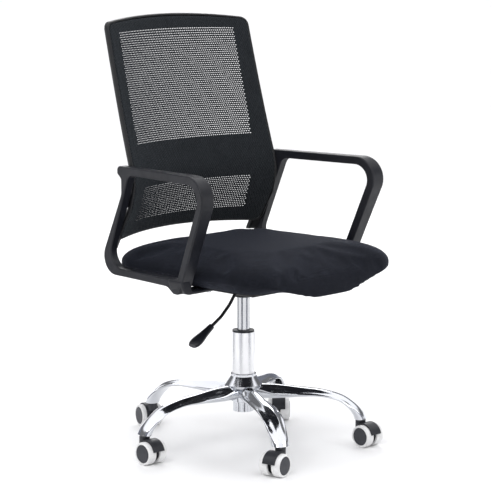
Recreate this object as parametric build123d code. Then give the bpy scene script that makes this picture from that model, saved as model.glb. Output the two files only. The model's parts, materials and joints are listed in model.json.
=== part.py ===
from build123d import *
from math import atan, cos, radians, sin, sqrt, tan
import os

# Swivel office chair with a mesh back, closed-loop armrests and a five-star chromed base.
# Millimetres, +Z up. The origin is on the floor under the gas column. The sitter faces -Y,
# and +X is on the sitter's left. The seat is shown at a working height.

# ---------------------------------------------------------------- driving dimensions
# base
LEG_COUNT = 5
LEG_FIRST_ANGLE = -46.6            # degrees from +X to the first leg
CASTER_RADIUS = 262.0              # column axis to caster stem
LEG_END_Z = 59.5                   # underside of a leg end
HUB_TOP_Z = 164.0
HUB_FLOOR_Z = 100.0
HUB_R = 27.5

# casters
WHEEL_R = 25.0
AXLE_R = 3.0
CASTER_TRAIL = 21.0                # stem axis to axle axis
CASTER_HALF_WIDTH = 26.0           # caster centre to the outer face of a wheel
STEM_R = 5.0
TRAIL_ANGLES = (-91.4, -137.0, 70.0, -91.9, 190.0)    # direction of each caster, degrees

# gas column
TUBE_R = 25.0
TUBE_WALL = 2.0
TUBE_FLOOR_Z = 104.0
TUBE_TOP_Z = 257.0
CYLINDER_R = 14.0
CYLINDER_BOTTOM_Z = 178.0
CYLINDER_TOP_Z = 350.0
ROD_R = 5.0
BUTTON_R = 4.0
RUNNING_GAP = 0.05                 # radial clearance of every running fit

# seat
BOARD_BOTTOM_Z = 391.0
BOARD_THICK = 12.0
SEAT_TOP_Z = 464.0
SEAT_RIM_Z = 410.0
SEAT_FRONT_Y, SEAT_REAR_Y = -255.0, 195.0
SEAT_FRONT_HALF, SEAT_REAR_HALF = 240.0, 225.0
SEAT_FRONT_BULGE = 14.0

# armrest loops
ARM_TOP_Z = 636.0
ARM_THICK = 18.0                   # top strip
BAR_THICK = 16.5
BAR_BOTTOM_Z = 396.0
FOOT_BOTTOM_Z = 383.0
FOOT_FRONT_Y, FOOT_REAR_Y = -92.0, -50.0
FOOT_EDGE_R = 3.6
SCREW_R = 3.0                      # every screw and bolt
SCREW_HEAD_R, SCREW_HEAD_H, SCREW_SOCKET_R = 6.0, 3.6, 2.7
FOOT_SCREWS = ((168.0, -71.0), (190.0, -81.0), (190.0, -61.0))

# back
BACK_BOTTOM_Z = 466.0               # lower corners
BACK_BOTTOM_BOW = 9.0              # rise of the lower edge to its middle
BACK_CORNER_Z = 939.0
BACK_TOP_Z = 953.0
BACK_TOP_HALF, BACK_BOTTOM_HALF = 219.0, 226.5
FRAME_THICK = 14.0
MESH_THICK = 3.0
# Side view of the middle of the back: a lower and an upper straight run, joined by the lumbar arc.
LUMBAR_Y, LUMBAR_Z = 165.5, 598.5  # where the two runs would meet
LOWER_SLOPE, UPPER_SLOPE = -0.39, 0.20   # change of y for each mm of height
LUMBAR_ARC_R = 120.0
# Radius of the back across its width: least at one height, and flatter above and below it.
ACROSS_R, ACROSS_Z = 405.0, 540.0
ACROSS_GROWTH_UP, ACROSS_GROWTH_DOWN = 0.78, 1.3
RAIL_FOOT_X, RAIL_FOOT_WIDTH, RAIL_FOOT_Z = 216.0, 19.0, 446.0    # side rails' lower ends
BACK_HEIGHTS = (435, 470, 505, 540, 564, 575, 586, 597, 608, 619, 630, 670, 720, 780, 840, 900, 965)
BACK_BOLT_HEIGHTS = (500.0, 560.0)

# height lever
LEVER_Y = -40.0
LEVER_PIVOT_X, LEVER_PIVOT_Z = -34.0, 366.0
LEVER_ROD_R = 3.5
LEVER_FINGER_Y = 0.0               # the finger presses the valve button on the column axis
PIN_R = 3.0

os.makedirs("parts", exist_ok=True)


# ---------------------------------------------------------------- helpers
def save(node, shape):
    """Write one sub-part. A group of equal pieces is one compound of separate solids."""
    export_step(shape, "parts/" + node + ".step")


def group(shapes):
    return Compound(children=list(shapes))


def tube(r_out, r_in, z_low, z_high):
    """Upright ring about the Z axis."""
    ring = Circle(r_out) - Circle(r_in) if r_in else Circle(r_out)
    return Pos(0, 0, z_low) * extrude(ring, z_high - z_low)


def turned(points):
    """Solid of revolution from (radius, height) points."""
    outline = make_face(Plane.XZ * Polyline(*points, close=True))
    return revolve(outline, Axis.Z)


def outline_yz(corners, x_low, x_high):
    """Prism from a side view: (y, z, corner radius) corners, between two x planes."""
    wire = FilletPolyline(*[(y, z) for y, z, _ in corners], radius=[r for *_, r in corners], close=True)
    return Pos(x_low, 0, 0) * extrude(Plane.YZ * make_face(wire), x_high - x_low)


def outline_xz(corners, y_low, y_high):
    """Prism from a front view: (x, z, corner radius) corners, between two y planes."""
    wire = FilletPolyline(*[(x, z) for x, z, _ in corners], radius=[r for *_, r in corners], close=True)
    return Pos(0, y_high, 0) * extrude(Plane.XZ * make_face(wire), y_high - y_low)


def leg_angle(index):
    return LEG_FIRST_ANGLE + index * 360.0 / LEG_COUNT


def caster_place(index):
    """Location of a caster: its origin on the floor under the stem, its +X along the trail."""
    angle = radians(leg_angle(index))
    spot = Pos(CASTER_RADIUS * cos(angle), CASTER_RADIUS * sin(angle), 0)
    return spot * Rot(0, 0, TRAIL_ANGLES[index])


def bolt(shank_h):
    """Button-head bolt: the head's bearing face is at z 0 and the shank points up."""
    head = Pos(0, 0, -SCREW_HEAD_H / 2) * Cylinder(SCREW_HEAD_R, SCREW_HEAD_H)
    head = fillet(head.edges().group_by(Axis.Z)[0], SCREW_HEAD_H * 0.6)
    socket = Pos(0, 0, -SCREW_HEAD_H) * extrude(RegularPolygon(SCREW_SOCKET_R, 6), SCREW_HEAD_H * 0.6)
    return head - socket + Pos(0, 0, shank_h / 2) * Cylinder(SCREW_R, shank_h)


# ---------------------------------------------------------------- five-star base
STEM_TOP_Z = LEG_END_Z + 12.0
CONE_LOW_Z, CONE_TOP_Z = 128.0, 156.0
HUB_CONE = ((HUB_R, CONE_LOW_Z), (41, 134), (42, 139), (30, CONE_TOP_Z))
COLLAR_R, NOTCH_COUNT = 28.5, 12       # ring above the cone, notched round its top edge
HUB_BELOW = ((TUBE_R, HUB_FLOOR_Z), (HUB_R - 1.5, HUB_FLOOR_Z), (HUB_R, HUB_FLOOR_Z + 1.5))
HUB_ABOVE = (
    (COLLAR_R, CONE_TOP_Z + 2),
    (COLLAR_R, HUB_TOP_Z - 1),
    (TUBE_R + 2, HUB_TOP_Z),
    (TUBE_R, HUB_TOP_Z),
)
# a leg's centre line and section: radius, height, slope in degrees, section height, width
LEG_STATIONS = (
    (24, 122, 0, 34, 40),
    (75, 121.5, -2, 31, 44),
    (125, 120.5, -4, 22, 48),
    (172, 118, -9, 16, 49),
    (214, 107.5, -27, 15, 47),
    (239, 90.5, -48, 18, 43),
    (255.5, 72, -68, 23, 40),
    (CASTER_RADIUS, LEG_END_Z, -84, 27, 38),
)


def leg():
    """One leg, lofted through ovals square to its centre line, with a bored stem socket."""
    sections = []
    for radius, height, slope, thick, width in LEG_STATIONS:
        normal = (cos(radians(slope)), 0, sin(radians(slope)))
        plane = Plane(origin=(radius, 0, height), x_dir=(0, 1, 0), z_dir=normal)
        sections.append(plane * Ellipse(width / 2, thick / 2))
    below = Pos(CASTER_RADIUS, 0, LEG_END_Z - 20) * Box(80, 80, 40)
    stem_bore = Pos(CASTER_RADIUS, 0, 0) * tube(STEM_R, 0, LEG_END_Z - 5, STEM_TOP_Z)
    return loft(sections) - below - stem_bore


hub = turned(HUB_BELOW + HUB_CONE + HUB_ABOVE)
sleeve_r = HUB_R - 0.5                 # the legs are welded to the sleeve below the cone
hub_space = tube(sleeve_r, 0, HUB_FLOOR_Z - 5, HUB_TOP_Z)
hub_cone = turned(((0, CONE_LOW_Z),) + HUB_CONE + ((0, CONE_TOP_Z),))
one_leg = leg() - hub_space - hub_cone
hub -= tube(HUB_R + 20, sleeve_r, HUB_FLOOR_Z - 4, CONE_LOW_Z)
notch = Pos(COLLAR_R, 0, HUB_TOP_Z - 1) * Box(2, 3, 3)
hub -= group(Rot(0, 0, k * 360 / NOTCH_COUNT) * notch for k in range(NOTCH_COUNT))
save("base_hub", hub)
save("base_legs", group(Rot(0, 0, leg_angle(k)) * one_leg for k in range(LEG_COUNT)))

flute = Pos(23.4, 0, 0) * tube(1.6, 0, 76, 97)
hub_plug = tube(23.0, 19.0, 82, HUB_FLOOR_Z + 4) + tube(23.0, 0, 78, 82)
hub_plug -= group(Rot(0, 0, k * 22.5) * flute for k in range(16))
hub_plug -= tube(30, 23.0, HUB_FLOOR_Z, HUB_FLOOR_Z + 5)
save("hub_plug", hub_plug)

stems = []
for k in range(LEG_COUNT):
    stem = tube(STEM_R, 0, 40.5, STEM_TOP_Z) + tube(STEM_R + 2.5, 0, LEG_END_Z - 1.6, LEG_END_Z)
    stems.append(caster_place(k) * stem)
save("caster_stems", group(stems))

# ---------------------------------------------------------------- gas column
column_tube = tube(TUBE_R, TUBE_R - TUBE_WALL, TUBE_FLOOR_Z + 4, TUBE_TOP_Z)
column_tube += tube(TUBE_R, ROD_R + 1.5, TUBE_FLOOR_Z, TUBE_FLOOR_Z + 4)
save("column_tube", column_tube)

bush = tube(TUBE_R - TUBE_WALL, CYLINDER_R + RUNNING_GAP, TUBE_TOP_Z - 32, TUBE_TOP_Z)
bush += tube(TUBE_R - 0.6, CYLINDER_R + RUNNING_GAP, TUBE_TOP_Z, TUBE_TOP_Z + 4)
save("column_bush", bush)

PISTON_Z = 216.0
piston_rod = tube(ROD_R, 0, HUB_FLOOR_Z - 6, PISTON_Z + 8)
piston_rod += tube(CYLINDER_R - 2 - RUNNING_GAP, 0, PISTON_Z, PISTON_Z + 8)
piston_rod -= tube(ROD_R + 2, ROD_R - 1, HUB_FLOOR_Z - 3, HUB_FLOOR_Z - 1)
save("piston_rod", piston_rod)
clip = tube(9.0, ROD_R - 1, HUB_FLOOR_Z - 3, HUB_FLOOR_Z - 1)
save("retaining_clip", clip - Pos(9, 0, HUB_FLOOR_Z - 2) * Box(14, 5, 5))
save("thrust_bearing", tube(12.0, ROD_R, TUBE_FLOOR_Z + 4.1, TUBE_FLOOR_Z + 8.0))

gas_cylinder = tube(CYLINDER_R, 0, CYLINDER_BOTTOM_Z, CYLINDER_TOP_Z)
gas_cylinder -= tube(ROD_R + RUNNING_GAP, 0, CYLINDER_BOTTOM_Z - 1, CYLINDER_BOTTOM_Z + 11)
gas_cylinder -= tube(CYLINDER_R - 2, 0, CYLINDER_BOTTOM_Z + 10, CYLINDER_TOP_Z - 14)
gas_cylinder -= tube(BUTTON_R + RUNNING_GAP, 0, CYLINDER_TOP_Z - 12, CYLINDER_TOP_Z + 1)
save("gas_cylinder", gas_cylinder)
save("valve_button", tube(BUTTON_R, 0, CYLINDER_TOP_Z - 7, CYLINDER_TOP_Z + 7))

# ---------------------------------------------------------------- casters
HOOD_R_IN, HOOD_R_OUT = WHEEL_R + 1.0, WHEEL_R + 3.6
HOOD_HALF = 15.5
HOOD_EDGE_R = 1.6
WEB_HALF = 4.5
WHEEL_IN, TYRE_WALL = WEB_HALF + 0.8, 5.0


def across(radius_out, radius_in, y_low, y_high):
    """Ring about the axle: the axle runs along Y at the trail distance, at wheel height."""
    ring = tube(radius_out, radius_in, 0, y_high - y_low)
    return Pos(CASTER_TRAIL, y_low, WHEEL_R) * Rot(-90, 0, 0) * ring


def caster_hood():
    """Hood over both wheels, the web between them and the boss that turns on the stem."""
    keep = Pos(CASTER_TRAIL, 0, WHEEL_R) * Rot(0, -12, 0) * Pos(0, 0, 30) * Box(80, 80, 60)
    shell = across(HOOD_R_OUT, HOOD_R_IN, -HOOD_HALF, HOOD_HALF) & keep
    outer_rims = shell.edges().filter_by(GeomType.CIRCLE).filter_by(lambda e: e.radius > HOOD_R_OUT - 0.1)
    shell = fillet(outer_rims, HOOD_EDGE_R)
    web = across(HOOD_R_OUT - 0.5, 0, -WEB_HALF, WEB_HALF) & (keep + across(9, 0, -10, 10))
    boss = tube(11.5, 0, 40, LEG_END_Z - 2.6)
    boss -= across(HOOD_R_IN, 0, -40, 40) - across(HOOD_R_IN, 0, -WEB_HALF, WEB_HALF)
    body = shell + web + boss
    body -= tube(STEM_R + RUNNING_GAP, 0, 40, LEG_END_Z)
    body -= across(AXLE_R, 0, -10, 10)
    return body - tube(STEM_R + 4, 0, LEG_END_Z - 2.6, LEG_END_Z + 3)


def wheel_core(side):
    """Dark wheel body with a dished outer face; side is -1 or 1."""
    core = across(WHEEL_R - TYRE_WALL, AXLE_R + RUNNING_GAP, WHEEL_IN, CASTER_HALF_WIDTH - 2)
    core += across(WHEEL_R - TYRE_WALL - 0.8, 0, CASTER_HALF_WIDTH - 2, CASTER_HALF_WIDTH)
    core = fillet(core.edges().group_by(Axis.Y)[-1], 1.4)
    core -= across(WHEEL_R - TYRE_WALL - 2.5, AXLE_R + 4, WHEEL_IN - 1, WHEEL_IN + 10)
    return core if side > 0 else mirror(core, Plane.XZ)


def wheel_tyre(side):
    """Soft pale tread, rounded at both shoulders."""
    tyre = across(WHEEL_R, WHEEL_R - TYRE_WALL, WHEEL_IN, CASTER_HALF_WIDTH - 1)
    outer_edges = tyre.edges().filter_by(GeomType.CIRCLE).filter_by(lambda e: e.radius > WHEEL_R - 0.1)
    tyre = fillet(outer_edges, 2.4)
    return tyre if side > 0 else mirror(tyre, Plane.XZ)


caster_axle = across(AXLE_R, 0, -CASTER_HALF_WIDTH + 3, CASTER_HALF_WIDTH - 3)
for k in range(LEG_COUNT):
    place = caster_place(k)
    number = str(k + 1)
    save("caster_hood_" + number, place * caster_hood())
    save("caster_axle_" + number, place * caster_axle)
    for letter, side in (("a", 1), ("b", -1)):
        save("wheel_" + number + letter, place * wheel_core(side))
        save("tyre_" + number + letter, place * wheel_tyre(side))

# ---------------------------------------------------------------- mechanism under the seat
PLATE_BOLTS = ((-70, -80), (70, -80), (-70, 80), (70, 80))
PAN_HALF_X, PAN_HALF_Y, PAN_BOTTOM_Z = 44.0, 72.0, 346.0
PLATE_TOP_Z = BOARD_BOTTOM_Z


def along_pivot(radius, y_low, y_high):
    """Cylinder about the lever's pivot axis, which runs along Y."""
    return Pos(LEVER_PIVOT_X, y_low, LEVER_PIVOT_Z) * Rot(-90, 0, 0) * tube(radius, 0, 0, y_high - y_low)


plate = Pos(0, 0, PLATE_TOP_Z - 1.5) * Box(176, 196, 3)
plate = fillet(plate.edges().filter_by(Axis.Z), 16)
pan = Pos(0, 0, (PAN_BOTTOM_Z + PLATE_TOP_Z) / 2) * Box(
    2 * PAN_HALF_X, 2 * PAN_HALF_Y, PLATE_TOP_Z - PAN_BOTTOM_Z
)
pan = fillet(pan.edges().filter_by(Axis.Z) + pan.edges().group_by(Axis.Z)[0], 6)
pan_inside = Pos(0, 0, (PAN_BOTTOM_Z + PLATE_TOP_Z) / 2 + 1) * Box(
    2 * PAN_HALF_X - 5, 2 * PAN_HALF_Y - 5, PLATE_TOP_Z - PAN_BOTTOM_Z - 4
)
socket = tube(20, CYLINDER_R, PAN_BOTTOM_Z - 10, PAN_BOTTOM_Z + 6)
mechanism = plate + (pan - pan_inside) + socket - tube(CYLINDER_R, 0, PAN_BOTTOM_Z - 20, CYLINDER_TOP_Z)
lever_slot = Pos(-PAN_HALF_X, LEVER_Y, LEVER_PIVOT_Z) * Box(14, 15, 26)
pin_ears = group(
    Pos(LEVER_PIVOT_X, y, LEVER_PIVOT_Z + 8) * Box(14, 3, 30) for y in (LEVER_Y - 10, LEVER_FINGER_Y + 10)
)
plate_holes = group(Pos(x, y, PLATE_TOP_Z) * Cylinder(SCREW_R, 40) for x, y in PLATE_BOLTS)
mechanism = mechanism - lever_slot + pin_ears - along_pivot(PIN_R, LEVER_Y - 14, LEVER_FINGER_Y + 14)
mechanism -= plate_holes
save("mechanism_plate", mechanism)
save("mechanism_bolts", group(Pos(x, y, PLATE_TOP_Z - 3) * bolt(14) for x, y in PLATE_BOLTS))

# ---------------------------------------------------------------- height lever
# The rod leaves the mechanism sideways and drops to a paddle under the sitter's right hand.
LEVER_PATH = ((-38, 366), (-62, 362), (-84, 334), (-110, 311), (-146, 290))
LEVER_BENDS = (14, 60, 60)
PADDLE_TIP = (-198.0, 259.0)

rod_line = Plane.XZ.offset(-LEVER_Y) * FilletPolyline(*LEVER_PATH, radius=list(LEVER_BENDS))
rod_start = Plane(origin=rod_line @ 0, z_dir=rod_line % 0)
lever_rod = sweep(rod_start * Circle(LEVER_ROD_R), path=rod_line)
lever_rod += along_pivot(6.5, LEVER_Y - 8, LEVER_FINGER_Y + 8)
finger_top, finger_bottom = LEVER_PIVOT_Z - 4.5, CYLINDER_TOP_Z + 7.6
finger = Box(40, 12, finger_top - finger_bottom)
lever_rod += Pos(-14, LEVER_FINGER_Y, (finger_top + finger_bottom) / 2) * finger
lever_rod -= along_pivot(PIN_R + RUNNING_GAP, LEVER_Y - 20, LEVER_FINGER_Y + 20)
save("lever_rod", lever_rod)
save("lever_pin", along_pivot(PIN_R, LEVER_Y - 13, LEVER_FINGER_Y + 13))

paddle_line = Edge.make_line((-140, LEVER_Y, 293.5), (PADDLE_TIP[0], LEVER_Y, PADDLE_TIP[1]))
paddle_sizes = ((0.0, 6.5, 6.5), (0.12, 7.5, 7), (0.55, 13, 8), (0.85, 15.5, 8), (1.0, 11, 5.5))
paddle = loft(
    [
        Plane(origin=paddle_line @ t, x_dir=(0, 1, 0), z_dir=paddle_line % 0) * Ellipse(half_y, half_z)
        for t, half_y, half_z in paddle_sizes
    ]
)
save("lever_paddle", paddle - lever_rod)

# ---------------------------------------------------------------- seat
def seat_outline(inset):
    """Plan of the seat: bowed front, narrower rounded rear."""
    front, rear = SEAT_FRONT_Y + inset, SEAT_REAR_Y - inset
    front_half, rear_half = SEAT_FRONT_HALF - inset, SEAT_REAR_HALF - inset
    edges = [
        ThreePointArc((-front_half, front), (0, front - SEAT_FRONT_BULGE), (front_half, front)),
        Line((front_half, front), (rear_half, rear)),
        Line((rear_half, rear), (-rear_half, rear)),
        Line((-rear_half, rear), (-front_half, front)),
    ]
    plan = make_face(edges)
    return fillet(plan.vertices(), 68)


BOARD_INSET = 26.0
board = Pos(0, 0, BOARD_BOTTOM_Z) * extrude(seat_outline(BOARD_INSET), BOARD_THICK)
seat_side = (
    (SEAT_REAR_Y + 4, BOARD_BOTTOM_Z, 8),
    (SEAT_REAR_Y + 4, 438, 16),
    (110, SEAT_TOP_Z, 200),
    (-170, SEAT_TOP_Z, 90),
    (-252, 425, 30),
    (SEAT_FRONT_Y - 18, 392, 8),
    (SEAT_FRONT_Y - 2, 380, 8),
    (-215, BOARD_BOTTOM_Z, 20),
)
seat_front = (
    (-242, SEAT_RIM_Z - 12, 8),
    (-242, SEAT_RIM_Z + 8, 10),
    (-185, SEAT_TOP_Z, 120),
    (185, SEAT_TOP_Z, 120),
    (242, SEAT_RIM_Z + 8, 10),
    (242, SEAT_RIM_Z - 12, 8),
    (150, 378, 40),
    (-150, 378, 40),
)
cushion = Pos(0, 0, 370) * extrude(seat_outline(0), 100)
cushion = cushion & outline_yz(seat_side, -260, 260) & outline_xz(seat_front, -300, 220)
cushion -= Pos(0, 0, 360) * extrude(seat_outline(BOARD_INSET - 0.3), BOARD_BOTTOM_Z + BOARD_THICK - 360)
board_bolts = PLATE_BOLTS + tuple((s * x, y) for x, y in FOOT_SCREWS for s in (-1, 1))
NUT_TOP_Z = BOARD_BOTTOM_Z + BOARD_THICK
nut = tube(4.5, 0, NUT_TOP_Z - 8, NUT_TOP_Z) + tube(9.0, 0, NUT_TOP_Z - 1.2, NUT_TOP_Z)
board -= group(Pos(x, y, 0) * (nut + tube(SCREW_R, 0, BOARD_BOTTOM_Z - 1, NUT_TOP_Z)) for x, y in board_bolts)
save("seat_board", board)
nut -= tube(SCREW_R, 0, NUT_TOP_Z - 10, NUT_TOP_Z + 1)
save("board_t_nuts", group(Pos(x, y, 0) * nut for x, y in board_bolts))
save("seat_cushion", cushion)

# ---------------------------------------------------------------- armrests
# Side view of the strip that makes the loop: (y, z, corner radius).
ARM_OUTER = (
    (-186, ARM_TOP_Z, 50),
    (-79.5, FOOT_BOTTOM_Z, 16),
    (-58, FOOT_BOTTOM_Z, 14),
    (-36, BAR_BOTTOM_Z, 24),
    (212, BAR_BOTTOM_Z, 40),
    (124.5, 575, 25),
    (124.5, 609, 9),
    (138, 619, 6),
    (138, ARM_TOP_Z, 9),
)
ARM_INNER = (
    (-158, ARM_TOP_Z - ARM_THICK, 34),
    (-71.5, BAR_BOTTOM_Z + BAR_THICK, 9),
    (178, BAR_BOTTOM_Z + BAR_THICK, 36),
    (98, ARM_TOP_Z - ARM_THICK, 20),
)
ARM_EDGE_R = 3.0
# Plan view of the strip: a slim rear post beside the back frame, swept out to a wide front bend.
POST_X_IN, POST_X_OUT = 227.5, 241.5
POST_FRONT_Y, POST_REAR_Y = 128.0, 225.0
BEND_X_IN, BEND_X_OUT, BEND_Y = 253.5, 291.0, -178.0
SWEEP_OUT, SWEEP_IN = (263.0, 12.0), (237.0, 5.0)       # the two sweeps pass through these
# Front view of the foot: (x, z, corner radius). It runs under the board and up into the loop.
FOOT_TIP_X, FOOT_HEEL_X = 158.0, 270.0
FOOT_CORNERS = (
    (FOOT_TIP_X, BOARD_BOTTOM_Z, 3),
    (FOOT_TIP_X, FOOT_BOTTOM_Z, 3),
    (FOOT_HEEL_X, FOOT_BOTTOM_Z, 24),
    (FOOT_HEEL_X + 11, BAR_BOTTOM_Z + 20, 6),
    (FOOT_HEEL_X - 16, BAR_BOTTOM_Z + 20, 6),
    (FOOT_HEEL_X - 21, BOARD_BOTTOM_Z, 6),
)


def arm_left():
    """Loop of the sitter's left armrest, wide in front and slim beside the back frame."""
    ring = outline_yz(ARM_OUTER, 200, 320) - outline_yz(ARM_INNER, 190, 330)
    plan = make_face(
        [
            ThreePointArc((BEND_X_OUT, BEND_Y), SWEEP_OUT, (POST_X_OUT, POST_REAR_Y)),
            Line((POST_X_OUT, POST_REAR_Y), (POST_X_IN, POST_REAR_Y)),
            Line((POST_X_IN, POST_REAR_Y), (POST_X_IN, POST_FRONT_Y)),
            ThreePointArc((POST_X_IN, POST_FRONT_Y), SWEEP_IN, (BEND_X_IN, BEND_Y)),
            Line((BEND_X_IN, BEND_Y), (BEND_X_OUT, BEND_Y)),
        ]
    )
    strip = ring & Pos(0, 0, 340) * extrude(plan, 320)
    rims = strip.edges().filter_by(lambda e: abs((e % 0.5).X) < 0.9)
    strip = fillet(rims, ARM_EDGE_R)
    foot = outline_xz(FOOT_CORNERS, FOOT_FRONT_Y, FOOT_REAR_Y)
    foot = fillet(foot.edges().group_by(Axis.Y)[0] + foot.edges().group_by(Axis.Y)[-1], FOOT_EDGE_R)
    strip += foot
    for x, y in FOOT_SCREWS:
        strip -= Pos(x, y, FOOT_BOTTOM_Z) * Cylinder(SCREW_R, 60)
    return strip


# ---------------------------------------------------------------- back
def middle_y(z):
    """Front face of the frame on the middle line, at a height."""
    turn = (atan(UPPER_SLOPE) - atan(LOWER_SLOPE)) / 2
    tangent = LUMBAR_ARC_R * tan(turn)
    low_end = LUMBAR_Z - tangent * cos(atan(LOWER_SLOPE))
    high_end = LUMBAR_Z + tangent * cos(atan(UPPER_SLOPE))
    if z <= low_end:
        return LUMBAR_Y + LOWER_SLOPE * (z - LUMBAR_Z)
    if z >= high_end:
        return LUMBAR_Y + UPPER_SLOPE * (z - LUMBAR_Z)
    centre_z = low_end - LUMBAR_ARC_R * sin(atan(LOWER_SLOPE))
    centre_y = LUMBAR_Y + LOWER_SLOPE * (low_end - LUMBAR_Z) + LUMBAR_ARC_R * cos(atan(LOWER_SLOPE))
    return centre_y - sqrt(LUMBAR_ARC_R**2 - (z - centre_z) ** 2)


def across_drop(x, z):
    """How far forward the curve across the back brings a point x from the middle."""
    above = z - ACROSS_Z
    radius = ACROSS_R + max(ACROSS_GROWTH_UP * above, -ACROSS_GROWTH_DOWN * above)
    return radius - sqrt(radius**2 - x**2)


def back_slab(front, rear):
    """Curved layer of the back, from one offset behind the mesh's rear face to another."""
    half = 240
    sections = []
    for z in BACK_HEIGHTS:
        middle = middle_y(z)
        edge = middle - across_drop(half, z)
        face = make_face(
            [
                ThreePointArc((-half, edge + front), (0, middle + front), (half, edge + front)),
                Line((half, edge + front), (half, edge + rear)),
                ThreePointArc((half, edge + rear), (0, middle + rear), (-half, edge + rear)),
                Line((-half, edge + rear), (-half, edge + front)),
            ]
        )
        sections.append(Pos(0, 0, z) * face)
    return loft(sections, ruled=True)


def back_outline(inset, corner):
    """Front view of the back, drawn in by an inset, as a prism through its whole depth."""
    top_half, bottom_half = BACK_TOP_HALF - inset, BACK_BOTTOM_HALF - inset
    low, high = BACK_BOTTOM_Z + inset, BACK_CORNER_Z - inset
    face = make_face(
        [
            ThreePointArc((-top_half, high), (0, BACK_TOP_Z - inset), (top_half, high)),
            Line((top_half, high), (bottom_half, low)),
            ThreePointArc((bottom_half, low), (0, low + BACK_BOTTOM_BOW), (-bottom_half, low)),
            Line((-bottom_half, low), (-top_half, high)),
        ]
    )
    face = fillet(face.vertices(), corner)
    return Pos(0, 320, 0) * extrude(Plane.XZ * face, 260)


frame_ring = back_outline(0.0, 17) - back_outline(21.0, 12)
rail_foot = Box(RAIL_FOOT_WIDTH, 260, 40)
frame_ring += group(Pos(s * RAIL_FOOT_X, 190, RAIL_FOOT_Z + 20) * rail_foot for s in (-1, 1))
back_frame = back_slab(0.0, FRAME_THICK) & frame_ring
back_mesh = back_slab(-MESH_THICK, 0.0) & back_outline(1.0, 16)
save("back_mesh", back_mesh)

# The frame's side rails are bolted from behind to tabs on the rear posts of the arms.
TAB_X, TAB_WIDTH, TAB_HEIGHT, TAB_THICK = 217.75, 26.5, 31.0, 5.0
BACK_BOLT_X, BOLT_IN_RAIL = 213.0, 9.0
left = arm_left()
rail_space = back_slab(-60.0, FRAME_THICK) & Pos(0, 190, 700) * Box(2 * POST_X_IN - 0.4, 300, 700)
back_bolts = []
for z in BACK_BOLT_HEIGHTS:
    rail_y = middle_y(z) - across_drop(BACK_BOLT_X, z) + FRAME_THICK
    tab = Pos(TAB_X, rail_y + TAB_THICK / 2 - 2, z) * Box(TAB_WIDTH, TAB_THICK + 16, TAB_HEIGHT)
    tab = fillet(tab.edges().filter_by(Axis.Y), 5) & Pos(TAB_X, rail_y + TAB_THICK - 50, z) * Box(60, 100, 60)
    left += tab - rail_space
    shank = TAB_THICK + BOLT_IN_RAIL
    from_behind = Pos(BACK_BOLT_X, rail_y + TAB_THICK, z) * Rot(90, 0, 0)
    screw = from_behind * bolt(shank)
    hole = from_behind * Pos(0, 0, shank / 2) * Cylinder(SCREW_R, shank)
    left -= hole
    back_frame = back_frame - hole - mirror(hole, Plane.YZ)
    back_bolts += [screw, mirror(screw, Plane.YZ)]
save("back_frame", back_frame)
save("arm_left", left)
save("arm_right", mirror(left, Plane.YZ))
save("back_bolts", group(back_bolts))
arm_bolt = bolt(BOARD_BOTTOM_Z + BOARD_THICK - FOOT_BOTTOM_Z - 2)
save(
    "arm_bolts",
    group(Pos(s * x, y, FOOT_BOTTOM_Z) * arm_bolt for x, y in FOOT_SCREWS for s in (-1, 1)),
)
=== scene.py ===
import json
import math

import bmesh
import bpy
import numpy as np
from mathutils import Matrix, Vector


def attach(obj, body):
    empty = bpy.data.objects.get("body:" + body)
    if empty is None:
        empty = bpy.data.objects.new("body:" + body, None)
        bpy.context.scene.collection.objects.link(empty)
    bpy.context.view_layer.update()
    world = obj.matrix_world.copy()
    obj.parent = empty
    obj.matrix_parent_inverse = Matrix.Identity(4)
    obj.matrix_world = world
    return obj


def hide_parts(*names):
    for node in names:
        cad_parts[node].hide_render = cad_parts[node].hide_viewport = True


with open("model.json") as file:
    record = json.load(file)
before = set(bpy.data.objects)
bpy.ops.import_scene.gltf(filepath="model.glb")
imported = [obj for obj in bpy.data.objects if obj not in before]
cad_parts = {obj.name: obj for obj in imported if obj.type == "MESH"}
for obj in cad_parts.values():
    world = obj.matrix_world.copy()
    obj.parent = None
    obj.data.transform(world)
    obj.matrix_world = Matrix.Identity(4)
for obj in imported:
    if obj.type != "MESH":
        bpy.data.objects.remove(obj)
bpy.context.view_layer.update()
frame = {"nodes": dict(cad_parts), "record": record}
nodes = frame["nodes"]
scene = bpy.context.scene
MM = 0.001

# ---------------------------------------------------------------- material helpers


def new_node(tree, kind, inputs=None, **settings):
    made = tree.nodes.new("ShaderNode" + kind)
    for key, value in settings.items():
        setattr(made, key, value)
    for key, value in (inputs or {}).items():
        if isinstance(value, bpy.types.NodeSocket):
            tree.links.new(value, made.inputs[key])
        else:
            made.inputs[key].default_value = value
    return made


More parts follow.
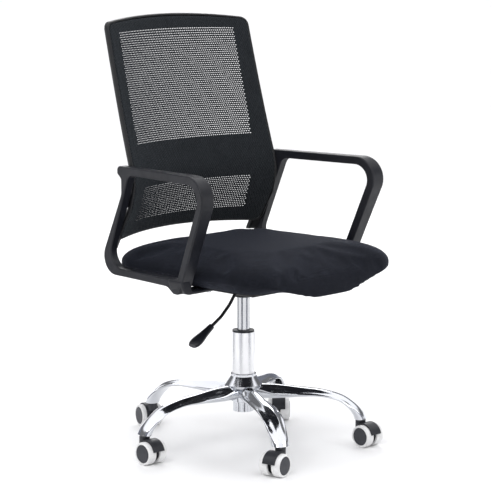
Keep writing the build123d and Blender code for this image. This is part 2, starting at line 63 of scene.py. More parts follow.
class Finish:
    """A Principled material whose detail comes from nodes in the piece's own coordinates."""

    def __init__(self, name, **constants):
        self.material = bpy.data.materials.new(name)
        self.material.use_nodes = True
        self.tree = self.material.node_tree
        self.shader = self.tree.nodes["Principled BSDF"]
        self.place = self.add("TexCoord").outputs["Object"]
        for key, value in constants.items():
            self.shader.inputs[key.replace("_", " ")].default_value = value

    def add(self, kind, inputs=None, **settings):
        return new_node(self.tree, kind, inputs, **settings)

    def stretched(self, scale):
        return self.add("Mapping", {"Vector": self.place, "Scale": scale}).outputs[0]

    def noise(self, scale, detail=3.0, place=None, distortion=0.0):
        inputs = {"Vector": place or self.place, "Scale": scale, "Detail": detail, "Distortion": distortion}
        return self.add("TexNoise", inputs).outputs[0]

    def span(self, value, low, high, from_low=0.3, from_high=0.7):
        inputs = {"Value": value, "From Min": from_low, "From Max": from_high, "To Min": low, "To Max": high}
        return self.add("MapRange", inputs).outputs[0]

    def math(self, operation, a, b=0.0, c=0.0):
        return self.add("Math", {0: a, 1: b, 2: c}, operation=operation).outputs[0]

    def mix(self, factor, a, b):
        return self.add("Mix", {0: factor, 6: a, 7: b}, data_type="RGBA").outputs[2]

    def colour(self, factor, a, b):
        """Base colour between two colours."""
        mixed = self.mix(factor, (*a, 1.0), (*b, 1.0))
        self.tree.links.new(mixed, self.shader.inputs["Base Color"])

    def recolour(self, factor, other):
        """Another colour over the base colour made so far."""
        socket = self.shader.inputs["Base Color"]
        mixed = self.mix(factor, socket.links[0].from_socket, (*other, 1.0))
        self.tree.links.new(mixed, socket)

    def rough(self, value):
        self.tree.links.new(value, self.shader.inputs["Roughness"])

    def bump(self, height, depth, strength=1.0):
        """A bump of that depth in metres, over any bump made before it."""
        socket = self.shader.inputs["Normal"]
        inputs = {"Height": height, "Distance": depth, "Strength": strength}
        if socket.is_linked:
            inputs["Normal"] = socket.links[0].from_socket
        self.tree.links.new(self.add("Bump", inputs).outputs[0], socket)

    def wave(self, axis_value, pitch, phase=0.0):
        return self.math("COSINE", self.math("MULTIPLY_ADD", axis_value, 2 * math.pi / pitch, phase))

    def wear(self, colour, low=0.53, high=0.6, amount=0.5):
        """Lighter colour along worn edges."""
        edge = self.add("NewGeometry").outputs["Pointiness"]
        worn = self.span(edge, 0.0, amount, low, high)
        patchy = self.math("MULTIPLY", worn, self.span(self.noise(90.0), 0.2, 1.0))
        self.recolour(patchy, colour)


def nylon(name, dark, light, low=0.36, high=0.5, grain=0.00004, wear=0.35):
    """Satin moulded nylon: fine sparked grain, faint cloudiness, paler edges."""
    made = Finish(name, Specular_IOR_Level=0.32)
    made.colour(made.span(made.noise(22.0, 4.0), 0.0, 1.0), dark, light)
    made.wear(tuple(c * 2.6 for c in light), amount=wear)
    made.rough(made.span(made.noise(60.0, 5.0), low, high))
    made.bump(made.noise(1500.0, 2.0), grain, 0.7)
    made.bump(made.noise(14.0, 2.0), 0.0003, 0.12)
    return made.material


def plated(name, tint, low, high, streak=(1.0, 1.0, 1.0), ripple=0.05):
    """Bright plated or polished metal with faint smudges and polishing ripples."""
    made = Finish(name, Metallic=1.0)
    darker = tuple(c * 0.9 for c in tint)
    made.colour(made.span(made.noise(9.0, 3.0), 0.0, 1.0), darker, tint)
    made.rough(made.span(made.noise(40.0, 6.0, made.stretched(streak)), low, high))
    made.bump(made.noise(25.0, 2.0, made.stretched(streak)), 0.0004, ripple)
    return made.material


# Pitch of the seat's weave, and how fast it runs down the sides and the front, in metres of plan per metre.
WEAVE_PITCH, RUN_SIDE, RUN_FRONT = 0.0021, 0.71, 0.9


def upholstery():
    """Fine plain weave, black with a navy cast, faintly mottled, with a soft sheen."""
    made = Finish("seat_cloth", Sheen_Weight=0.10, Sheen_Roughness=0.4, Specular_IOR_Level=0.12)
    made.shader.inputs["Sheen Tint"].default_value = (0.45, 0.5, 0.7, 1.0)
    x, y, z = made.add("SeparateXYZ", {0: made.place}).outputs[:3]
    u = made.math("SUBTRACT", made.math("ABSOLUTE", x), made.math("MULTIPLY", z, RUN_SIDE))
    v = made.math("SUBTRACT", y, made.math("MULTIPLY", z, RUN_FRONT))
    weave = made.math("MULTIPLY", made.wave(u, WEAVE_PITCH), made.wave(v, WEAVE_PITCH))
    mottled = made.noise(55.0, 8.0, distortion=0.6)
    made.colour(made.span(mottled, 0.0, 1.0), (0.0022, 0.0028, 0.0050), (0.0052, 0.0062, 0.0100))
    made.recolour(made.span(weave, 0.0, 0.4, -1.0, 1.0), (0.013, 0.0150, 0.022))
    made.rough(made.span(made.noise(300.0), 0.72, 0.92))
    made.bump(weave, 0.00022, 0.8)
    made.bump(made.noise(900.0, 3.0), 0.0002, 0.5)
    return made.material


CELL_WIDE, CELL_HIGH, THREAD_PITCH = 5.6 * MM, 4.64 * MM, 0.0011


def knit():
    """Knitted back cloth: rows of small raised loops, set half a cell apart."""
    made = Finish("back_knit", Sheen_Weight=0.08, Sheen_Roughness=0.4, Specular_IOR_Level=0.16)
    made.shader.inputs["Sheen Tint"].default_value = (0.5, 0.6, 0.7, 1.0)
    x, y, z = made.add("SeparateXYZ", {0: made.place}).outputs[:3]
    loops = made.math("MULTIPLY", made.wave(x, CELL_WIDE), made.wave(z, 2 * CELL_HIGH))
    threads = made.wave(made.math("ADD", x, made.math("MULTIPLY", z, 0.5)), THREAD_PITCH)
    cloudy = made.span(made.noise(30.0, 5.0), 0.0, 1.0)
    made.colour(cloudy, (0.0042, 0.0054, 0.0070), (0.0085, 0.0102, 0.0125))
    made.recolour(made.span(loops, 0.0, 0.55, -1.0, 1.0), (0.020, 0.0245, 0.029))
    made.rough(made.span(made.noise(200.0), 0.6, 0.85))
    made.bump(loops, 0.0006, 0.9)
    made.bump(threads, 0.0001, 0.5)
    return made.material


def tread():
    """Pale soft wheel tread, dulled where it rolls."""
    made = Finish("tread_grey", Specular_IOR_Level=0.45)
    made.colour(made.span(made.noise(60.0, 6.0), 0.0, 1.0), (0.66, 0.66, 0.66), (0.8, 0.8, 0.8))
    made.recolour(made.span(made.noise(420.0, 6.0), 0.0, 0.3, 0.55, 0.75), (0.4, 0.39, 0.37))
    made.rough(made.span(made.noise(150.0), 0.4, 0.62))
    made.bump(made.noise(800.0, 2.0), 0.00006, 0.6)
    return made.material


def dust_cloth():
    """Black spun dust cloth stapled under the seat board: pressed fibres, slightly fuzzy."""
    made = Finish("dust_cloth", Specular_IOR_Level=0.15)
    fibres = made.noise(420.0, 6.0, made.stretched((1.0, 0.35, 1.0)), 2.0)
    made.colour(made.span(fibres, 0.0, 1.0), (0.006, 0.0065, 0.009), (0.018, 0.019, 0.024))
    made.rough(made.span(fibres, 0.75, 0.95))
    made.bump(fibres, 0.0003, 0.7)
    return made.material


black_nylon = nylon("black_nylon", (0.0054, 0.0060, 0.0090), (0.0090, 0.0100, 0.0145))
frame_nylon = nylon("frame_nylon", (0.0045, 0.0049, 0.006), (0.0075, 0.008, 0.0095))
caster_nylon = nylon("caster_nylon", (0.017, 0.018, 0.022), (0.026, 0.027, 0.032), 0.3, 0.45)
cap_nylon = nylon("cap_nylon", (0.028, 0.030, 0.036), (0.042, 0.044, 0.052), 0.34, 0.5)
powder = nylon("black_powder_coat", (0.008, 0.008, 0.009), (0.014, 0.014, 0.016), 0.4, 0.6, 0.00012)
chrome = plated("chrome_plate", (0.68, 0.695, 0.73), 0.08, 0.15)
tube_chrome = plated("tube_chrome", (0.87, 0.875, 0.89), 0.26, 0.36, (6.0, 6.0, 0.25), 0.03)
ground_steel = plated("ground_steel", (0.62, 0.63, 0.65), 0.14, 0.26, (8.0, 8.0, 0.2), 0.08)
zinc = plated("zinc_plate", (0.72, 0.73, 0.74), 0.2, 0.34, ripple=0.1)
seat_cloth, back_knit, pale_tread, under_cloth = upholstery(), knit(), tread(), dust_cloth()

WEARS = {
    "chrome": chrome,
    "pale_plug": chrome,
    "steel": zinc,
    "bolts": zinc,
    "black_plate": powder,
    "black_plastic": black_nylon,
    "seat_underside": under_cloth,
    "seat_fabric": seat_cloth,
    "black_nylon": black_nylon,
    "back_mesh": back_knit,
    "caster_grey": caster_nylon,
    "axle_steel": zinc,
    "wheel_grey": cap_nylon,
    "pale_tread": pale_tread,
}


def dress(obj, material):
    obj.data.materials.clear()
    obj.data.materials.append(material)


for part in frame["record"]["subparts"]:
    dress(nodes[part["node"]], WEARS[part["material_slot"]])
dress(nodes["column_tube"], tube_chrome)
dress(nodes["gas_cylinder"], ground_steel)

# ---------------------------------------------------------------- mesh helpers


def mesh_object(name, points, faces, material, smooth=True):
    mesh = bpy.data.meshes.new(name)
    mesh.from_pydata([tuple(p) for p in points], [], [tuple(f) for f in faces])
    mesh.validate()
    mesh.polygons.foreach_set("use_smooth", [smooth] * len(mesh.polygons))
    made = bpy.data.objects.new(name, mesh)
    scene.collection.objects.link(made)
    mesh.materials.append(material)
    return made


def ring_faces(rings, per_ring, closed_rings=False):
    """Quads between rings of equal point counts, each ring closed on itself."""
    faces = []
    for k in range(rings if closed_rings else rings - 1):
        a, b = k * per_ring, (k + 1) % rings * per_ring
        for i in range(per_ring):
            j = (i + 1) % per_ring
            faces.append((a + i, a + j, b + j, b + i))
    return faces


def rounded(corners, steps):
    """Closed outline through (a, b, radius) corners, each rounded by an arc."""
    line = []
    for k, (a, b, radius) in enumerate(corners):
        here = Vector((a, b))
        before = (Vector(corners[k - 1][:2]) - here).normalized()
        after = (Vector(corners[(k + 1) % len(corners)][:2]) - here).normalized()
        half = before.angle(after) / 2
        centre = here + (before + after).normalized() * radius / math.sin(half)
        start = here + before * radius / math.tan(half) - centre
        turn = start.angle_signed(here + after * radius / math.tan(half) - centre)
        for i in range(steps + 1):
            angle = -turn * i / steps
            line.append(centre + Vector((
                start.x * math.cos(angle) - start.y * math.sin(angle),
                start.x * math.sin(angle) + start.y * math.cos(angle),
            )))
    return line


def spaced(line, count):
    """A closed outline as count points at equal distances."""
    ends = np.array([*line, line[0]], float)
    run = np.concatenate([[0.0], np.cumsum(np.linalg.norm(np.diff(ends, axis=0), axis=1))])
    at = np.linspace(0.0, run[-1], count, endpoint=False)
    return np.stack([np.interp(at, run, ends[:, 0]), np.interp(at, run, ends[:, 1])], axis=1)


def inward(outline):
    """Unit normals that point into a closed outline."""
    along = np.roll(outline, -1, axis=0) - np.roll(outline, 1, axis=0)
    normal = np.stack([-along[:, 1], along[:, 0]], axis=1)
    normal /= np.linalg.norm(normal, axis=1)[:, None]
    middle = outline.mean(axis=0)
    return normal if ((middle - outline) * normal).sum() > 0 else -normal


def ease(value):
    value = np.clip(value, 0.0, 1.0)
    return value * value * (3 - 2 * value)


# ---------------------------------------------------------------- seat cushion
# Plan and heights of the pad in millimetres: a crowned top over a thin edge, and a drooping front lip.
SEAT_CENTRE = np.array([0.0, -30.0])
FRONT_HALF, FRONT_FROM, FRONT_BOW = 239, -150, 13.0
PLAN_CORNERS = [(-225, 194, 70), (-FRONT_HALF, -254, 66), (FRONT_HALF, -254, 66), (225, 194, 70)]
RIM_Z, CROWN_Z, LIP_Z = 419.0, 461.0, 376.0
BOARD_LOW, BOARD_TOP, BOARD_INSET = 391.3, 403.4, 26.4
# The lip: where it starts towards the front, over what run, and its reach to the sides.
LIP_FROM, LIP_RUN, LIP_REACH, LIP_HALF = 170, 80, 1.15, 215
# Rings of the top with their spacing, and how the top falls from the crown to the rim.
TOP_RINGS, TOP_SPACING, FALL_FLAT, FALL_ROUND, EDGE_HIGH = 30, 1.6, 6, 0.52, 3.0
# Below the rim: distance in, and the share of the way down to the board at the sides and at the front lip.
UNDERSIDE = ((0, 0, 0), (3, 0.2, -0.06), (9, 0.55, 0.0), (18, 0.88, 0.45), (BOARD_INSET, 1, 1))
# The cushion's swelling: held below this height in metres, no further than this, over these frames.
PIN_BELOW, SWELL_CAP, SWELL_FRAMES, VOXEL = 0.4045, 6 * MM, 20, 5 * MM


def seat_plan(count=220):
    line = spaced(rounded(PLAN_CORNERS, 16), count)
    front = line[:, 1] < FRONT_FROM
    to_front = ease((FRONT_FROM - line[front, 1]) / 100)
    line[front, 1] -= FRONT_BOW * (1 - (line[front, 0] / FRONT_HALF) ** 2) * to_front
    return line


def seat_rings():
    plan = seat_plan()
    normal = inward(plan)
    to_front = ease((-plan[:, 1] - LIP_FROM) / LIP_RUN)
    lip = to_front * ease(LIP_REACH - np.abs(plan[:, 0]) / LIP_HALF)
    rim = RIM_Z - (RIM_Z - LIP_Z) * lip
    rings = []
    for share in 1 - np.linspace(1.0, 0.0, TOP_RINGS)[:-1] ** TOP_SPACING:
        flat = SEAT_CENTRE + (plan - SEAT_CENTRE) * share
        fall = (1 - share**FALL_FLAT) ** FALL_ROUND
        rings.append(np.column_stack([flat, rim + (CROWN_Z - rim) * fall]))
    for inset, at_side, at_lip in UNDERSIDE:
        share = at_side + (at_lip - at_side) * lip
        height = rim - EDGE_HIGH + (BOARD_LOW - rim + EDGE_HIGH) * share
        rings.append(np.column_stack([plan + normal * inset, height]))
    rings.append(np.column_stack([plan + normal * BOARD_INSET, np.full(len(plan), BOARD_TOP)]))
    for share in (0.6, 0.25):
        flat = SEAT_CENTRE + (plan - SEAT_CENTRE) * share
        rings.append(np.column_stack([flat, np.full(len(plan), BOARD_TOP)]))
    return rings


def make_cushion():
    rings = seat_rings()
    count = len(rings[0])
    points = np.concatenate(rings) * MM
    faces = ring_faces(len(rings), count)
    faces += [tuple(range(count)), tuple(range((len(rings) - 1) * count, len(rings) * count))]
    pad = mesh_object("seat_pad", points, faces, seat_cloth)
    face_outwards(pad)
    remesh = pad.modifiers.new("even", "REMESH")
    remesh.mode, remesh.voxel_size = "VOXEL", VOXEL
    apply_all(pad)
    return pad


def face_outwards(obj):
    """Makes every closed shell's faces point outwards."""
    shape = bmesh.new()
    shape.from_mesh(obj.data)
    bmesh.ops.recalc_face_normals(shape, faces=shape.faces)
    shape.to_mesh(obj.data)
    shape.free()


def apply_all(obj):
    """Replaces an object's mesh by what its modifiers make of it now."""
    seen = obj.evaluated_get(bpy.context.evaluated_depsgraph_get())
    mesh = bpy.data.meshes.new_from_object(seen)
    obj.modifiers.clear()
    obj.data = mesh
    mesh.polygons.foreach_set("use_smooth", [True] * len(mesh.polygons))


def coordinates(obj):
    co = np.empty(len(obj.data.vertices) * 3)
    obj.data.vertices.foreach_get("co", co)
    return co.reshape(-1, 3)


def inflate(obj, held, cap):
    """Lets the cover swell under pressure as cloth, with its held points pinned."""
    before = coordinates(obj)
    pins = obj.vertex_groups.new(name="held")
    pins.add([int(i) for i in np.nonzero(held(before))[0]], 1.0, "REPLACE")
    cloth = obj.modifiers.new("cloth", "CLOTH")
    cloth.settings.vertex_group_mass = "held"
    cloth.settings.use_pressure = True
    cloth.settings.uniform_pressure_force = 3.0
    cloth.settings.quality = 6
    cloth.settings.tension_stiffness = 60.0
    cloth.settings.compression_stiffness = 60.0
    cloth.settings.bending_stiffness = 40.0
    cloth.settings.effector_weights.gravity = 0.0
    cloth.collision_settings.use_collision = False
    for step in range(1, SWELL_FRAMES + 1):
        scene.frame_set(step)
    seen = obj.evaluated_get(bpy.context.evaluated_depsgraph_get())
    after = coordinates(seen)
    move = after - before
    length = np.linalg.norm(move, axis=1)[:, None]
    move *= np.minimum(1.0, cap / np.maximum(length, 1e-9))
    obj.modifiers.clear()
    obj.vertex_groups.clear()
    obj.data.vertices.foreach_set("co", (before + move).ravel())
    scene.frame_set(1)


cushion = make_cushion()
inflate(cushion, lambda co: co[:, 2] < PIN_BELOW, SWELL_CAP)
finer = cushion.modifiers.new("finer", "SUBSURF")
finer.levels = finer.render_levels = 1
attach(cushion, "seat")
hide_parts("seat_cushion")

# ---------------------------------------------------------------- back
# The back's front face in millimetres, as in the CAD: two straight runs joined by an arc, bowed across.
LUMBAR_Y, LUMBAR_Z, LOWER, UPPER, ARC = 165.5, 598.5, -0.39, 0.20, 120.0
BACK_LOW, BACK_HIGH, BACK_CROWN, BACK_BOW = 466.0, 939.0, 14.0, 9.0
CROWN_SHARP, BOW_SHARP = 18, 14
TOP_HALF, LOW_HALF = 219.0, 226.5
# Radius of the bow across the back where it is tightest, the height of that, and its growth above and below.
BOW_RADIUS, BOW_Z, BOW_ABOVE, BOW_BELOW = 405.0, 540.0, 0.78, 1.3


def back_y(x, z):
    reach = ARC * math.tan((math.atan(UPPER) - math.atan(LOWER)) / 2)
    low = LUMBAR_Z - reach * math.cos(math.atan(LOWER))
    high = LUMBAR_Z + reach * math.cos(math.atan(UPPER))
    centre_z = low - ARC * math.sin(math.atan(LOWER))
    centre_y = LUMBAR_Y + LOWER * (low - LUMBAR_Z) + ARC * math.cos(math.atan(LOWER))
    bend = centre_y - np.sqrt(np.maximum(ARC**2 - (z - centre_z) ** 2, 0.0))
    y = np.where(z <= low, LUMBAR_Y + LOWER * (z - LUMBAR_Z), LUMBAR_Y + UPPER * (z - LUMBAR_Z))
    y = np.where((z > low) & (z < high), bend, y)
    radius = BOW_RADIUS + np.maximum(BOW_ABOVE * (z - BOW_Z), BOW_BELOW * (BOW_Z - z))
    return y - (radius - np.sqrt(radius**2 - x**2))


def half_width(z):
    return TOP_HALF + (LOW_HALF - TOP_HALF) * (BACK_HIGH - z) / (BACK_HIGH - BACK_LOW)


def crowned(x, z, row):
    """Height with the bowed top and bottom edges: only the outer rows rise towards the middle."""
    share = np.clip((row - BACK_LOW) / (BACK_HIGH - BACK_LOW), 0.0, 1.0)
    rise = BACK_CROWN * (1 - (x / TOP_HALF) ** 2) * share**CROWN_SHARP
    return z + rise + BACK_BOW * (1 - (x / LOW_HALF) ** 2) * (1 - share) ** BOW_SHARP


# Windows: bottom, top and half width of the upper one, and heights with their half widths of the lower one.
UPPER_FROM, UPPER_TO, UPPER_HALF = 673, 917, 179
LOWER_HEIGHTS, LOWER_HALVES = (503, 540, 584), (176, 167, 168)


def is_open(x, z):
    """True in the two see-through windows of the knit."""
    lower_half = np.interp(z, LOWER_HEIGHTS, LOWER_HALVES)
    upper = (z > UPPER_FROM) & (z < UPPER_TO) & (np.abs(x) < UPPER_HALF)
    return upper | ((z > LOWER_HEIGHTS[0]) & (z < LOWER_HEIGHTS[-1]) & (np.abs(x) < lower_half))


FABRIC_INSET, FABRIC_CORNER = 4.6, 13.0
FABRIC_DEPTH, THREAD = -1.9, 1.1 * MM
TUCK_DEPTH, TUCK_WIDE = 1.8, 5.0
ROWS, COLUMNS = 100, 78
# Holes: width and height as shares of a cell, how much smaller in the lower window, and the corners' places.
HOLE_WIDE, HOLE_HIGH, LOWER_TIGHT = 0.86, 0.43, 0.88
HOLE_REACH, HOLE_RISE = np.array([0.78, 0.0, 0.78] * 2), np.array([0.62, 1.0, 0.62] * 2)
HOLE_SIDE, HOLE_TIP = np.array([-1, 0, 1, 1, 0, -1]), np.array([-1, -1, -1, 1, 1, 1])


def fabric_half(z):
    """Half width of the cloth at a row, drawn in at its rounded corners."""
    from_end = np.minimum(BACK_HIGH - FABRIC_INSET - z, z - BACK_LOW - FABRIC_INSET)
    lost = np.clip(FABRIC_CORNER - from_end, 0.0, FABRIC_CORNER)
    return half_width(z) - FABRIC_INSET - (FABRIC_CORNER - np.sqrt(FABRIC_CORNER**2 - lost**2))


def on_back(x, z, depth):
    half = fabric_half(z)
    z = crowned(x, z, z)
    tuck = TUCK_DEPTH * ease((np.abs(x) - half + TUCK_WIDE) / TUCK_WIDE)
    return np.column_stack([x, back_y(x, z) + depth + tuck, z]) * MM


def make_back_cloth():
    """The cloth as one net: a staggered grid of cells, each open in the windows and closed elsewhere."""
    across = 2 * COLUMNS + 1
    z_line = np.linspace(BACK_LOW + FABRIC_INSET, BACK_HIGH - FABRIC_INSET, ROWS + 1)
    z_grid = np.repeat(z_line, across)
    x_grid = np.tile(np.linspace(-1, 1, across), ROWS + 1) * fabric_half(z_grid)
    xs, zs, faces = list(x_grid), list(z_grid), []
    for row in range(ROWS):
        low, high = row * across, (row + 1) * across
        start = row % 2
        if start:
            faces.append((low, low + 1, high + 1, high))
            faces.append((high - 2, high - 1, high + across - 1, high + across - 2))
        for i in range(start, across - 2, 2):
            ring = (low + i, low + i + 1, low + i + 2, high + i + 2, high + i + 1, high + i)
            x = np.array([xs[r] for r in ring])
            z = np.array([zs[r] for r in ring])
            if not is_open(x.mean(), z.mean()):
                faces += [(ring[0], ring[1], ring[4], ring[5]), (ring[1], ring[2], ring[3], ring[4])]
                continue
            first = len(xs)
            wide, high_half = (x.max() - x.min()) / 2, (z.max() - z.min()) / 2
            tight = LOWER_TIGHT if z.mean() < LUMBAR_Z else 1.0
            xs += list(x.mean() + HOLE_SIDE * HOLE_REACH * wide * HOLE_WIDE * tight)
            zs += list(z.mean() + HOLE_TIP * HOLE_RISE * high_half * HOLE_HIGH * tight)
            for k in range(6):
                n = (k + 1) % 6
                faces.append((ring[k], ring[n], first + n, first + k))
    points = on_back(np.array(xs), np.array(zs), FABRIC_DEPTH)
    return mesh_object("back_cloth", points, faces, back_knit)


back_cloth = make_back_cloth()
thicken = back_cloth.modifiers.new("thread", "SOLIDIFY")
thicken.thickness, thicken.offset = THREAD, 0.0
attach(back_cloth, "seat")
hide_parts("back_mesh")

# Section of the frame, as distance in from its outline and depth behind the front face.
RIM_SECTION = (
    (0.0, 5.0), (0.0, 1.0), (0.7, -1.2), (2.0, -2.5), (3.4, -2.4), (4.3, -1.2), (5.2, 0.2), (12.0, 0.3),
    (20.0, 0.4), (21.0, 1.6), (21.0, 8.0), (19.8, 11.6), (16.5, 13.6), (6.0, 13.8), (2.2, 12.6), (0.4, 9.6),
)

RIM_CORNER, RIM_POINTS = 17, 420
# A rail foot, below the frame: its corners in x and depth, and heights with how far each is drawn in.
FOOT_CORNERS = [(207, 0.5, 3), (225.4, 0.5, 3), (225.4, 13.6, 4), (207, 13.6, 4)]
FOOT_LEVELS = (
    (446.4, 2.2), (446.8, 0.9), (448.0, 0), (452.0, 0), (458.0, 0),
    (464.0, 0), (470.0, 0), (476.0, 0), (482.0, 0),
)
FOOT_POINTS = 60


def make_back_rim():
    ends = ((-TOP_HALF, BACK_HIGH), (-LOW_HALF, BACK_LOW), (LOW_HALF, BACK_LOW), (TOP_HALF, BACK_HIGH))
    outline = spaced(rounded([(x, z, RIM_CORNER) for x, z in ends], 10), RIM_POINTS)
    normal = inward(outline)
    rings = []
    for inset, depth in RIM_SECTION:
        flat = outline + normal * inset
        x, z = flat[:, 0], crowned(flat[:, 0], flat[:, 1], outline[:, 1])
        rings.append(np.column_stack([x, back_y(x, z) + depth, z]) * MM)
    points, faces = list(np.concatenate(rings)), ring_faces(len(rings), len(outline), closed_rings=True)
    foot = spaced(rounded(FOOT_CORNERS, 6), FOOT_POINTS)
    for side in (-1, 1):
        first = len(points)
        for z, draw in FOOT_LEVELS:
            flat = foot + inward(foot) * draw
            x, level = flat[:, 0] * side, np.full(FOOT_POINTS, z)
            points += list(np.column_stack([x, back_y(x, level) + flat[:, 1], level]) * MM)
        faces += [tuple(first + i for i in f) for f in ring_faces(len(FOOT_LEVELS), FOOT_POINTS)]
        faces.append(tuple(range(first, first + FOOT_POINTS)))
    rim = mesh_object("back_rim", points, faces, frame_nylon)
    face_outwards(rim)
    return rim


back_rim = make_back_rim()
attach(back_rim, "seat")
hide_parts("back_frame")

# ---------------------------------------------------------------- star base
# Centre line and section of a leg: radius, height, slope, thickness, width.
LEG = np.array([
    (24, 122, 0, 34, 40), (75, 121.5, -2, 31, 44), (125, 120.5, -4, 22, 48), (172, 118, -9, 16, 49),
    (214, 107.5, -27, 15, 47), (239, 90.5, -48, 18, 43), (255.5, 72, -68, 23, 40), (262, 59.5, -84, 27, 38),
], float)
LEG_FIRST_ANGLE = -46.6
LEG_COUNT, LEG_STEPS = 5, 56
# How far a leg's section goes from an oval to a ridged bell, and the radii where that starts and ends.
RIDGE, RIDGE_START, RIDGE_END = 0.45, (30, 40), (232, 26)


def leg_section(ridge):
    """Section across a leg, from -1 to 1 each way: an oval blended with a ridge between two flanges."""
    side = np.linspace(-1, 1, 37)
    round_top = np.sqrt(np.maximum(0.0, 1 - side**2))
    bell = -0.5 + 1.5 * np.exp(-((side / 0.52) ** 4) * 0.9)
    edge = np.sqrt(np.maximum(0.0, 1 - side**8))
    top = (1 - ridge) * round_top + ridge * ((bell + 0.62) * edge - 0.62)
    low = -(1 - ridge) * round_top - ridge * (0.62 + 0.3 * edge)
    return np.column_stack([np.concatenate([side, side[-2:0:-1]]), np.concatenate([top, low[-2:0:-1]])])


def one_leg():
    run = np.linspace(0, len(LEG) - 1, LEG_STEPS)
    knots = np.arange(len(LEG))
    smooth = np.column_stack([catmull(knots, LEG[:, k], run) for k in range(5)])
    rings = []
    for radius, height, slope, thick, width in smooth:
        starts = ease((radius - RIDGE_START[0]) / RIDGE_START[1])
        ends = ease((radius - RIDGE_END[0]) / RIDGE_END[1])
        ridge = RIDGE * float(starts * (1 - ends))
        shape = leg_section(ridge)
        lean = math.radians(slope)
        up = shape[:, 1] * thick / 2
        rings.append(np.column_stack([
            radius - math.sin(lean) * up, shape[:, 0] * width / 2, height + math.cos(lean) * up,
        ]) * MM)
    return rings


def catmull(knots, values, at):
    """Smooth curve through values at whole knots."""
    i = np.clip(np.floor(at).astype(int), 0, len(knots) - 2)
    t = at - i
    padded = np.concatenate([[2 * values[0] - values[1]], values, [2 * values[-1] - values[-2]]])
    a, b, c, d = padded[i], padded[i + 1], padded[i + 2], padded[i + 3]
    return 0.5 * (2 * b + (c - a) * t + (2 * a - 5 * b + 4 * c - d) * t**2 + (3 * b - a - 3 * c + d) * t**3)


def make_legs():
    rings = one_leg()
    per = len(rings[0])
    points, faces = [], []
    for k in range(LEG_COUNT):
        angle = math.radians(LEG_FIRST_ANGLE + 360 / LEG_COUNT * k)
        cos, sin = math.cos(angle), math.sin(angle)
        turn = np.array([[cos, sin, 0], [-sin, cos, 0], [0, 0, 1]])
        first = len(points)
        points += list(np.concatenate(rings) @ turn)
        faces += [tuple(first + i for i in f) for f in ring_faces(len(rings), per)]
        faces.append(tuple(first + (len(rings) - 1) * per + i for i in range(per)))
    made = mesh_object("star_legs", points, faces, chrome)
    face_outwards(made)
    return made


legs = make_legs()
trim = legs.modifiers.new("edges", "EDGE_SPLIT")
trim.split_angle = math.radians(50)
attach(legs, "base")
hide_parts("base_legs")

# ---------------------------------------------------------------- studio
FLOOR_HALF = 90
floor_corners = [(x * FLOOR_HALF, y * FLOOR_HALF, 0) for x, y in ((-1, -1), (1, -1), (1, 1), (-1, 1))]
floor = mesh_object("floor", floor_corners, [(0, 1, 2, 3)], None, False)
pale = Finish("pale_floor", Specular_IOR_Level=0.2)
pale.colour(pale.span(pale.noise(0.7), 0.0, 1.0), (0.90, 0.90, 0.90), (0.93, 0.93, 0.93))
pale.rough(pale.span(pale.noise(3.0), 0.6, 0.7))
dress(floor, pale.material)


def soft_light(name, place, aim, size, power):
    data = bpy.data.lights.new(name, "AREA")
    data.shape, data.size, data.size_y, data.energy = "RECTANGLE", size[0], size[1], power
    lamp = bpy.data.objects.new(name, data)
    scene.collection.objects.link(lamp)
    lamp.location = place
    lamp.rotation_euler = (Vector(aim) - Vector(place)).to_track_quat("-Z", "Y").to_euler()


soft_light("key", (-3.0, -1.2, 2.8), (0, 0, 0.5), (2.2, 1.6), 42)
soft_light("fill", (1.2, -3.4, 2.0), (0, 0, 0.5), (1.6, 1.6), 16)
soft_light("rim", (2.6, 2.6, 2.2), (0, 0, 0.6), (2.4, 1.2), 36)

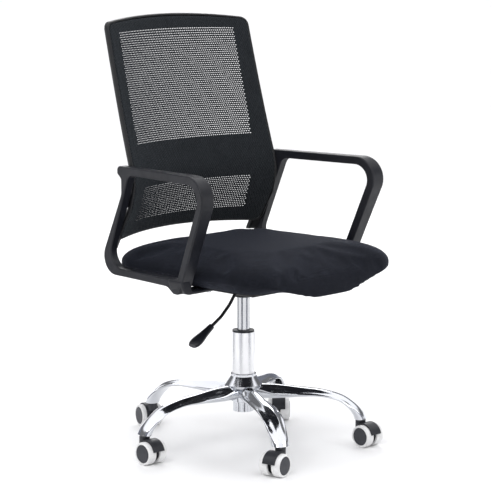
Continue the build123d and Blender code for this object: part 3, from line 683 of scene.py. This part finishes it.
# Dark flags round the chair that only reflections see: they draw the edges of the chrome.
FLAG_RING, FLAG_COUNT, FLAG_FIRST, FLAG_SPREAD = 0.95, 4, 20, 0.28
FLAG_HEIGHTS = (0.02, 0.34)
flag_points, flag_faces = [], []
for k in range(FLAG_COUNT):
    middle = math.radians(FLAG_FIRST + 360 / FLAG_COUNT * k)
    for angle in (middle - FLAG_SPREAD, middle + FLAG_SPREAD):
        across, deep = FLAG_RING * math.cos(angle), FLAG_RING * math.sin(angle)
        flag_points += [(across, deep, height) for height in FLAG_HEIGHTS]
    flag_faces.append((4 * k, 4 * k + 1, 4 * k + 3, 4 * k + 2))
navy = Finish("flag_cloth", Specular_IOR_Level=0.0)
navy.colour(navy.span(navy.noise(3.0), 0.0, 1.0), (0.14, 0.15, 0.18), (0.26, 0.27, 0.31))
navy.rough(navy.span(navy.noise(6.0), 0.9, 1.0))
flags = mesh_object("flags", flag_points, flag_faces, navy.material, False)
flags.visible_camera = flags.visible_diffuse = flags.visible_shadow = False

world = bpy.data.worlds.new("studio")
scene.world = world
world.use_nodes = True
sky = world.node_tree
heading = new_node(sky, "TexCoord").outputs["Generated"]
upness = new_node(sky, "SeparateXYZ", {0: heading}).outputs[2]
ramp = new_node(sky, "ValToRGB", {0: upness})
stops = ((0.0, 1.0), (0.14, 1.0), (0.2, 0.16), (0.48, 0.14), (0.6, 1.05), (1.0, 1.1))
while len(ramp.color_ramp.elements) < len(stops):
    ramp.color_ramp.elements.new(0.5)
for element, (position, level) in zip(ramp.color_ramp.elements, stops):
    element.position, element.color = position, (level, level, level * 1.02, 1.0)
background = sky.nodes["Background"]
sky.links.new(ramp.outputs[0], background.inputs[0])
background.inputs[1].default_value = 1.4
scene.view_settings.view_transform = "Standard"

# ---------------------------------------------------------------- camera
AZIMUTH, ELEVATION = math.radians(-46.0), math.radians(8.8365)
DISTANCE, TARGET = 4.35146, Vector((0, 0, 0.45209))
eye = bpy.data.cameras.new("camera")
eye.lens, eye.shift_x, eye.shift_y = 144.34, 0.0054, -0.0033
camera = bpy.data.objects.new("camera", eye)
scene.collection.objects.link(camera)
camera.location = TARGET + DISTANCE * Vector((
    math.sin(AZIMUTH) * math.cos(ELEVATION), -math.cos(AZIMUTH) * math.cos(ELEVATION), math.sin(ELEVATION),
))
camera.rotation_euler = (TARGET - camera.location).to_track_quat("-Z", "Y").to_euler()
scene.camera = camera
